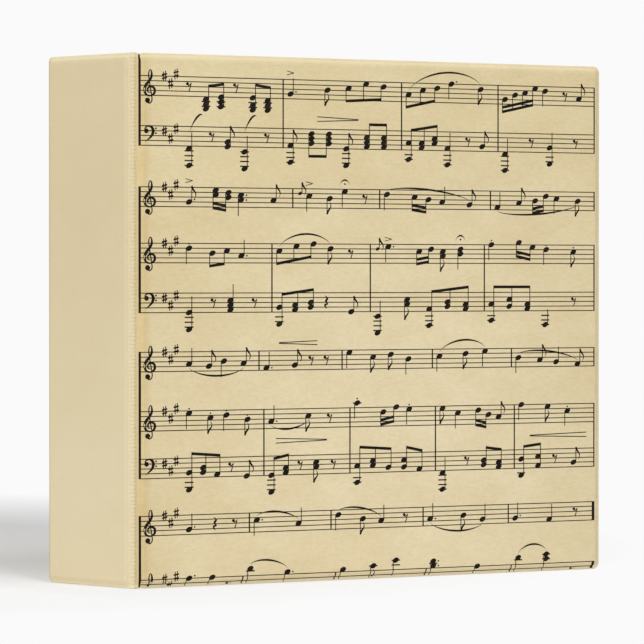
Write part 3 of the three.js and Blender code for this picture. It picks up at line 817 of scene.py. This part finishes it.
def read_token(token):
    """Splits a token into its kind, its groups of steps and its signs."""
    kind, body = token[0], token[1:]
    signs = "".join(c for c in body if c in ".>^_")
    body = "".join(c for c in body if c not in ".>^_")
    groups = [[int(n) for n in g.split("/")] for g in body.split(",")] if body else []
    return kind, groups, signs


def token_weight(kind, groups, signs):
    if kind in "bs":
        return len(groups) * (1.25 if kind == "b" else 1.0)
    return WEIGHTS[kind] + (0.6 if "." in signs else 0)


def stem(s, bottom, steps, up, small=1.0):
    """Draws a stem and gives the place of its end."""
    side = STEM_SIDE * small if up else -STEM_SIDE * small
    start = level(bottom, min(steps) if up else max(steps))
    reach = STEM_REACH * small
    end = (level(bottom, max(steps)) - reach) if up else (level(bottom, min(steps)) + reach)
    NOTES.line(s + side, start, s + side, end, STEM)
    return s + side, end


def draw_note(s, bottom, kind, steps, signs):
    grace = kind == "g"
    up = sum(steps) / len(steps) < 4 or grace
    for step in steps:
        head(s, bottom, step, kind == "h", 0.62 if grace else 1.0)
        ledgers(s, bottom, step)
        if "." in signs:
            NOTES.oval(s + 1.25 * SPACE, level(bottom, step + 1 - step % 2), 0.5, 0.5, sides=10)
    end = stem(s, bottom, steps, up, 0.7 if grace else 1.0)
    if kind in "eg":
        flag(*end, up)
    above = level(bottom, max(steps)) - (STEM_REACH if up else 0)
    top = min(above, level(bottom, 8)) - 1.8
    if ">" in signs:
        MARKS.line(s - 2.2, top - 2.2, s + 2.2, top - 1.1, 0.4)
        MARKS.line(s - 2.2, top, s + 2.2, top - 1.1, 0.4)
    if "^" in signs:
        slur(s - 3.2, top - 0.4, s + 3.2, top - 0.4, 3.0, 0.75)
        MARKS.oval(s, top - 1.1, 0.55, 0.55, sides=10)
    if "_" in signs:
        staccato(s, bottom, steps, up)
    return (s, level(bottom, max(steps)), level(bottom, min(steps)), up)


def staccato(s, bottom, steps, up):
    dot = level(bottom, min(steps)) + 2.5 if up else level(bottom, max(steps)) - 2.5
    NOTES.oval(s, dot, 0.5, 0.5, sides=10)


def draw_beam(s, bottom, kind, groups, signs, pitch):
    up = sum(sum(g) / len(g) for g in groups) / len(groups) < 4
    places = [s + i * pitch for i in range(len(groups))]
    side = STEM_SIDE if up else -STEM_SIDE
    if up:
        ends = [level(bottom, max(g)) - STEM_REACH * 0.9 for g in groups]
    else:
        ends = [level(bottom, min(g)) + STEM_REACH * 0.9 for g in groups]
    slope = max(min((ends[-1] - ends[0]) / max(places[-1] - places[0], 1), 0.22), -0.22)
    pick = min if up else max
    base = pick(e - slope * (p - places[0]) for e, p in zip(ends, places))
    result = []
    for place, group in zip(places, groups):
        for step in group:
            head(place, bottom, step)
            ledgers(place, bottom, step)
        start = level(bottom, min(group) if up else max(group))
        NOTES.line(place + side, start, place + side, base + slope * (place - places[0]), STEM)
        if "_" in signs:
            staccato(place, bottom, group, up)
        result.append((place, level(bottom, max(group)), level(bottom, min(group)), up))
    away = 1 if up else -1
    for row in range(2 if kind == "s" else 1):
        shift = away * (BEAM / 2 + row * BEAM * 1.6)
        NOTES.line(places[0] + side - STEM / 2, base + shift, places[-1] + side + STEM / 2,
                   base + slope * (places[-1] - places[0]) + shift, BEAM)
    return result


def draw_bar(text, s0, s1, bottom):
    """One bar of music between two bar lines. A slur covers it where the text starts with ~."""
    tokens = [read_token(t) for t in text.lstrip("~").split()]
    total = sum(token_weight(*t) for t in tokens)
    unit = (s1 - s0 - BAR_ROOM) / total
    s = s0 + FIRST_NOTE
    heads = []
    for kind, groups, signs in tokens:
        weight = token_weight(kind, groups, signs)
        if kind == "R":
            quarter_rest(s, bottom)
        elif kind == "r":
            eighth_rest(s, bottom)
        elif kind in "bs":
            heads += draw_beam(s, bottom, kind, groups, signs, weight * unit / len(groups))
        else:
            heads.append(draw_note(s, bottom, kind, groups[0], signs))
        s += weight * unit
    if text.startswith("~") and len(heads) > 1:
        slur_over(heads)


def slur_over(heads):
    first, last = heads[0], heads[-1]
    if first[3]:
        low = max(h[2] for h in heads)
        slur(first[0], first[2] + 2.3, last[0], last[2] + 2.3, -(3.4 + (low - first[2]) * 0.8))
    else:
        high = min(h[1] for h in heads)
        slur(first[0], first[1] - 2.3, last[0], last[1] - 2.3, 3.4 + (first[1] - high) * 0.8)


CLEF_AT = PRINT_START + 6.0
SIGNATURE_AT = (17.9, 21.6, 24.9)
SIGNATURE_STEPS = {"treble": (8, 5, 9), "bass": (6, 3, 7)}


def staff(top, kind, bars, texts):
    """A staff of five lines with its clef, three sharps and bars. Gives the bottom line's height."""
    bottom = top + 4 * SPACE
    for i in range(5):
        LINES.line(PRINT_START, top + i * SPACE, PRINT_END, top + i * SPACE, STAFF_LINE)
    clef(kind, CLEF_AT, bottom)
    for s, step in zip(SIGNATURE_AT, SIGNATURE_STEPS[kind]):
        sharp(s, level(bottom, step))
    for start, end, text in zip(bars[:-1], bars[1:], texts):
        draw_bar(text, start, end, bottom)
    return bottom


def system_line(t0, t1):
    """The thick line at a system's start, in three strokes so that it follows the slope beside the hinge."""
    for i in range(3):
        s = PRINT_START + SYSTEM_LINE * (i + 0.5) / 3
        LINES.line(s, t0, s, t1, SYSTEM_LINE / 3 + 0.02)


def bar_lines(bars, t0, t1):
    system_line(t0, t1)
    for s in bars[1:]:
        LINES.line(s - BAR_LINE / 2, t0, s - BAR_LINE / 2, t1, BAR_LINE)


def hairpin(s0, s1, t, near, far):
    """Two lines that open or close between two gaps."""
    MARKS.line(s0, t - near, s1, t - far, 0.5)
    MARKS.line(s0, t + near, s1, t + far, 0.5)


FIRST = 28.5
END = PRINT_END
PAIRS = [
    (12.7, 40.2, [FIRST, 91, 166, 229, END],
     ["r b-5/-3/-1,-4/-2/0 r b-5/-3/0,-5/-3/-1", "q2.> e4 b5,7,6", "~b3,5,6 q8. e6", "s2,4,5,7 q6 r e3"],
     ["q-8/-1 r e0/2 q-9/-2 r", "e-6/1 b2/4/6,2/4/6 e-7/0 b1/3/5,1/3/5", "b-4/3,1/3,3/5 q-6/1 r e2",
      "q-8/-1 r q-5/2 r"]),
    (104.8, 132.3, [FIRST, 84, 146, 220, END],
     ["q6_ b4,5 q3.", "~b5,7,8 e6 r", "g6 q7>. s5,6 e3/5 q4/6^", "q8_ s9,7 q6_ e5_"],
     ["q-7/0 r q1/3/5 r", "b-5/2,1/3,2/4 R e0", "q-9/-2 e3/5 b-6/1,2/4,1/3", "b-4/3,2/5,1/3 q-6 r"]),
    (197.5, 223.7, [FIRST, 79, 133, 188, 240, END],
     ["q7_ e5_ q6_ e4_", "~q3. e5 r", "q10_ s6,8 q7_", "e7 q5 s6,4 e3", "q8 e7 q5_"],
     ["b-5/2,2/4,1 r e0", "b-7/0,1/3 r e3/5 r", "b-4/3,3/5,2 b2/5,1", "q-8/-1 r b2/4,1/3", "b-3/4,1/5 r e2"]),
]
SINGLES = [
    (73.8, [FIRST, 97, 152, 224, END],
     ["e2.> s5/7,4/6 q3/5. e3", "g6 q5> e4 q7^ r", "~q6 s5,4 q3 e2", "~q1 e3 s4,6 q5 e4"]),
    (164.8, [FIRST, 76, 128, 186, 238, END],
     ["~q3 e2 q4 e3", "q1. e2 r r", "q7 e5 e6 q4", "~q5 e6 q7", "~q4 e3 q2 e1"]),
    (255.2, [FIRST, 70, 121, 180, 236, END],
     ["~q2. R r", "~q5. q3", "~q6 e4 q3 r", "~q3. e4 q2", "q2. q1 r"]),
]
FOOT_STAFF = 290.3
FOOT_BARS = [FIRST, 66, 124, 182, 238, END]
FOOT_TEXTS = ["q8. q8 r", "~q11 q9.", "q9 e10 q12", "q9/11. q8", "~q11 q10/12 r"]

for treble_top, bass_top, bars, high, low in PAIRS:
    staff(treble_top, "treble", bars, high)
    bass_bottom = staff(bass_top, "bass", bars, low)
    bar_lines(bars, treble_top, bass_bottom)
for top, bars, texts in SINGLES:
    bar_lines(bars, top, staff(top, "treble", bars, texts))
for (top, _, _), below in zip(SINGLES, (PAIRS[1][0], PAIRS[2][0], FOOT_STAFF)):
    system_line(top + 4 * SPACE, below)
staff(FOOT_STAFF, "treble", FOOT_BARS, FOOT_TEXTS)
bar_lines(FOOT_BARS, FOOT_STAFF, PRINT_FOOT)
system_line(1.0, PAIRS[0][0])
for t0, t1 in ((SINGLES[-1][0], SINGLES[-1][0] + 4 * SPACE), (FOOT_STAFF, PRINT_FOOT)):
    LINES.line(PRINT_END - FINAL_BAR / 2, t0, PRINT_END - FINAL_BAR / 2, t1, FINAL_BAR)
for mark in ((112, 138, 34.5, 1.3, 0.2), (88, 112, 160.4, 0.2, 1.1), (86, 118, 215.2, 1.3, 0.2),
             (250, 288, 215.6, 0.2, 1.3)):
    hairpin(*mark)
for s0, s1 in ((33.0, 41.0), (66.5, 74.0)):
    slur(s0, 43.5, s1, 33.8, 3.0, 1.5)
LINES.finish("music_staff_lines")
NOTES.finish("music_notes")
MARKS.finish("music_signs")


# The ring metal

RINGS_AT = (-92.625, 86.961, 147.5)


def ring_place(x, y, z):
    """A point of the ring metal's own frame, in the row frame."""
    return (RINGS_AT[0] - x, RINGS_AT[1] - y, RINGS_AT[2] + z)


MERGE_WITHIN = 2e-6
FLAT_WITHIN = math.radians(0.6)


def refined(node, name, material, bevel, body, slot, angle=38.0, segments=2):
    """A copy of a solid with its faces merged, its edges rounded and its curves smoothed."""
    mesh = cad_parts[node].data.copy()
    mesh.materials.clear()
    mesh.materials.append(material)
    bm = bmesh.new()
    bm.from_mesh(mesh)
    bmesh.ops.remove_doubles(bm, verts=bm.verts, dist=MERGE_WITHIN)
    bmesh.ops.dissolve_limit(bm, angle_limit=FLAT_WITHIN, verts=bm.verts, edges=bm.edges)
    bmesh.ops.recalc_face_normals(bm, faces=bm.faces)
    for layer in list(bm.loops.layers.uv):
        bm.loops.layers.uv.remove(layer)
    for face in bm.faces:
        face.smooth = True
    bm.to_mesh(mesh)
    bm.free()
    if mesh.attributes.get("custom_normal"):
        mesh.attributes.remove(mesh.attributes["custom_normal"])
    mesh.name = name
    mesh.set_sharp_from_angle(angle=math.radians(angle))
    obj = placed(name, mesh)
    mod = obj.modifiers.new("edges", "BEVEL")
    mod.width = bevel / 1000.0
    mod.segments = segments
    mod.limit_method = "ANGLE"
    mod.angle_limit = math.radians(angle)
    mod.harden_normals = True
    dressed(obj, body, slot, node)


refined("ring_housing", "housing_channel", NICKEL, 0.22, "back_cover", "steel")
refined("round_ring_leaf", "leaf_round_side", NICKEL, 0.15, "round_leaf", "steel")
refined("straight_ring_leaf", "leaf_straight_side", NICKEL, 0.15, "straight_leaf", "steel")
for place in ("upper", "lower"):
    refined(f"{place}_lever", f"{place}_lever_plate", NICKEL, 0.25, f"{place}_lever_body", "steel")
    refined(f"{place}_lever_grip", f"{place}_lever_cap", GRIP, 0.5, f"{place}_lever_body", "grip", segments=3)
    refined(f"{place}_lever_pin", f"{place}_hinge_pin", NICKEL, 0.12, "back_cover", "steel")
    refined(f"{place}_rivet", f"{place}_cover_rivet", NICKEL, 0.18, "back_cover", "steel")

WIRE = 1.8
WIRE_SIDES = 24
TIP_SHARE, TIP_LENGTH = 0.86, 0.25
FOOT_Y, TOP_Y = 1.394, 58.5


def bezier(corners, steps):
    """Points along a curve drawn by its corner points, or along a straight line between two."""
    result = []
    for i in range(steps + 1):
        row = [np.array(corner, float) for corner in corners]
        while len(row) > 1:
            row = [a + (b - a) * (i / steps) for a, b in zip(row, row[1:])]
        result.append(row[0])
    return result


def tube(name, path, z0, body, node):
    """A wire of round section along a flat path, with its tips slightly chamfered."""
    line = [path[0]]
    for p in path[1:]:
        if np.linalg.norm(p - line[-1]) > 0.05:
            line.append(p)
    line.insert(1, line[0] + unit(line[1] - line[0]) * TIP_LENGTH)
    line.insert(-1, line[-1] - unit(line[-1] - line[-2]) * TIP_LENGTH)
    rings = []
    for i, p in enumerate(line):
        radius = WIRE * (TIP_SHARE if i in (0, len(line) - 1) else 1.0)
        before, after = around(line, i)
        x, y = unit(after - before)
        normal = np.array([-y, x])
        ring = []
        for j in range(WIRE_SIDES):
            u = math.tau * j / WIRE_SIDES
            ring.append(ring_place(*(p + normal * radius * math.cos(u)), z0 + radius * math.sin(u)))
        rings.append(ring)
    dressed(skin(name, rings, WIRE_NICKEL, 40.0), body, "steel", node)


straight_path = bezier([(-9, FOOT_Y), (-9, 50.5)], 24) + bezier([(-9, 50.5), (-9, TOP_Y), (-1, TOP_Y)], 20)
straight_path += bezier([(-1, TOP_Y), (0.85, TOP_Y)], 2)
round_path = bezier([(9, FOOT_Y), (9, 10.5)], 5)
round_path += bezier([(9, 10.5), (9, 19.875), (26, 19.875), (26, 29.25)], 24)
round_path += bezier([(26, 29.25), (26, 39.0), (20.15, TOP_Y), (5.15, TOP_Y)], 28)
round_path += bezier([(5.15, TOP_Y), (1.15, TOP_Y)], 3)
for place, z0 in (("lower", -108.0), ("middle", 0.0), ("upper", 108.0)):
    tube(f"{place}_straight_wire", straight_path, z0, "straight_leaf", f"{place}_ring_straight_half")
    tube(f"{place}_round_wire", round_path, z0, "round_leaf", f"{place}_ring_round_half")


# The pockets, with their welded edges

POCKET_FACE = -0.8
BEAD_PROFILE = [(-0.9, 0.0), (-0.55, 0.1), (0.0, 0.16), (0.55, 0.1), (0.9, 0.0), (0.9, -0.12), (-0.9, -0.12)]


def weld_bead(name, panel, corners, body):
    """A low ridge of melted film along a line of (s, z) corners on a cover's inner face."""
    line = []
    for start, end in zip(np.array(corners[:-1]), np.array(corners[1:])):
        count = max(int(np.linalg.norm(end - start) / 12), 2)
        line += [start + (end - start) * i / count for i in range(count)]
    line.append(np.array(corners[-1]))
    rings = []
    for i, (s, z) in enumerate(line):
        before, after = around(line, i)
        ds, dz = unit(after - before)
        rings.append([panel.place(s - dz * across, z + ds * across, POCKET_FACE - up) for across, up in BEAD_PROFILE])
    dressed(skin(name, rings, LINER, 50.0), body, "liner_film")


weld_bead("front_pocket_weld", FRONT, [(15.2, 203.6), (15.2, 6.2), (291.8, 6.2), (291.8, 149.4)], "front_cover")
weld_bead("back_pocket_weld", BACK, [(85.2, 203.6), (85.2, 6.2), (291.8, 6.2), (291.8, 149.4)], "back_cover")
for node in ("front_pocket", "back_pocket"):
    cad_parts[node].data.materials.clear()
    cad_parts[node].data.materials.append(POCKET)
for body in ("front_cover", "spine", "back_cover"):
    refined(f"{body}_board", f"{body}_chipboard", CHIPBOARD, 1.5, body, "board", segments=4)


# Floor, light and camera

SEEN_WHITE = (0.956, 0.956, 0.956, 1.0)
WORLD_STRENGTH = 0.42
FLOOR_TONES = ((0.93, 0.93, 0.93, 1.0), (0.94, 0.94, 0.94, 1.0))
SHADOW_MIDDLE = (-0.04, 0.4, 0.0)
SHADOW_RADIUS, CLEAR_RADIUS = 0.19, 0.52
CLEAR_X, SHADED_X, CLEAR_SHARE = -0.2, -0.145, 0.85


def seen_rays(tree):
    """1 for what the camera sees, also in a reflection or through film, and 0 for light that falls on things."""
    path = tree.nodes.new("ShaderNodeLightPath")
    seen = path.outputs["Is Camera Ray"]
    for name in ("Is Glossy Ray", "Is Transmission Ray"):
        either = tree.nodes.new("ShaderNodeMath")
        either.operation = "MAXIMUM"
        tree.links.new(seen, either.inputs[0])
        tree.links.new(path.outputs[name], either.inputs[1])
        seen = either.outputs[0]
    return seen


def blend_shaders(tree, share, first, second, output):
    """Sends a blend of two shaders to a tree's output."""
    mixer = tree.nodes.new("ShaderNodeMixShader")
    for socket, source in zip(mixer.inputs, (share, first, second)):
        tree.links.new(source, socket)
    tree.links.new(mixer.outputs[0], output.inputs["Surface"])


def backdrop(name):
    """Pale matt floor that fades into the background's own white, outside the shadow and beside the spine."""
    m = Nodes(name)
    m.put(Base_Color=m.between(m.noise(3, 2, 0.5), *FLOOR_TONES), Roughness=0.95, Specular_IOR_Level=0.1)
    beside = m.span(m.coordinate("X"), CLEAR_SHARE, 0.0, CLEAR_X, SHADED_X)
    outside = m.span(m.distance(SHADOW_MIDDLE), 0.0, 1.0, SHADOW_RADIUS, CLEAR_RADIUS)
    share = m.arithmetic("MULTIPLY", m.arithmetic("MAXIMUM", outside, beside), seen_rays(m.tree))
    glow = m.add("ShaderNodeEmission")
    m.fill(glow, Color=SEEN_WHITE)
    blend_shaders(m.tree, share, m.shader.outputs[0], glow.outputs[0], m.tree.nodes["Material Output"])
    return m.material


bpy.ops.mesh.primitive_grid_add(x_subdivisions=8, y_subdivisions=8, size=24.0, location=(0, 0, -0.0002))
floor = bpy.context.object
floor.name = "studio_floor"
floor.data.materials.append(backdrop("studio_floor"))

world = bpy.data.worlds.new("studio")
bpy.context.scene.world = world
world.use_nodes = True
tree = world.node_tree
light = tree.nodes["Background"]
light.inputs["Color"].default_value = WHITE
light.inputs["Strength"].default_value = WORLD_STRENGTH
seen_world = tree.nodes.new("ShaderNodeBackground")
seen_world.inputs["Color"].default_value = SEEN_WHITE
seen_world.inputs["Strength"].default_value = 1.0
blend_shaders(tree, seen_rays(tree), light.outputs[0], seen_world.outputs[0], tree.nodes["World Output"])


def aim_along(obj, place, direction):
    obj.location = place
    obj.rotation_mode = "QUATERNION"
    obj.rotation_quaternion = direction.to_track_quat("-Z", "Y")


def softbox(name, place, aim, size, power):
    data = bpy.data.lights.new(name, "AREA")
    data.shape = "RECTANGLE"
    data.size, data.size_y = size
    data.energy = power
    aim_along(placed(name, data), place, Vector(aim) - Vector(place))


softbox("key", place=(-1.2, -2.3, 1.6), aim=(0, 0, 0.12), size=(0.7, 0.7), power=21)
softbox("fill", place=(-2.0, 0.3, 0.58), aim=(-0.15, 0.05, 0.15), size=(1.2, 1.0), power=12)
softbox("top", place=(-0.45, -0.75, 2.2), aim=(0, 0, 0), size=(1.0, 1.0), power=12)

LENS = 196.04
CAMERA_AT = (-1.5235, -1.3338, 0.172)
YAW, PITCH_DOWN = math.radians(-48.52), math.radians(0.747)

camera_data = bpy.data.cameras.new("camera")
camera_data.sensor_width = 36.0
camera_data.lens = LENS
camera_data.clip_start = 0.05
camera_data.clip_end = 60.0
camera = placed("camera", camera_data)
level_part = math.cos(PITCH_DOWN)
aim_along(camera, CAMERA_AT, Vector((-math.sin(YAW) * level_part, math.cos(YAW) * level_part, -math.sin(PITCH_DOWN))))
bpy.context.scene.camera = camera
bpy.context.scene.view_settings.view_transform = "Standard"
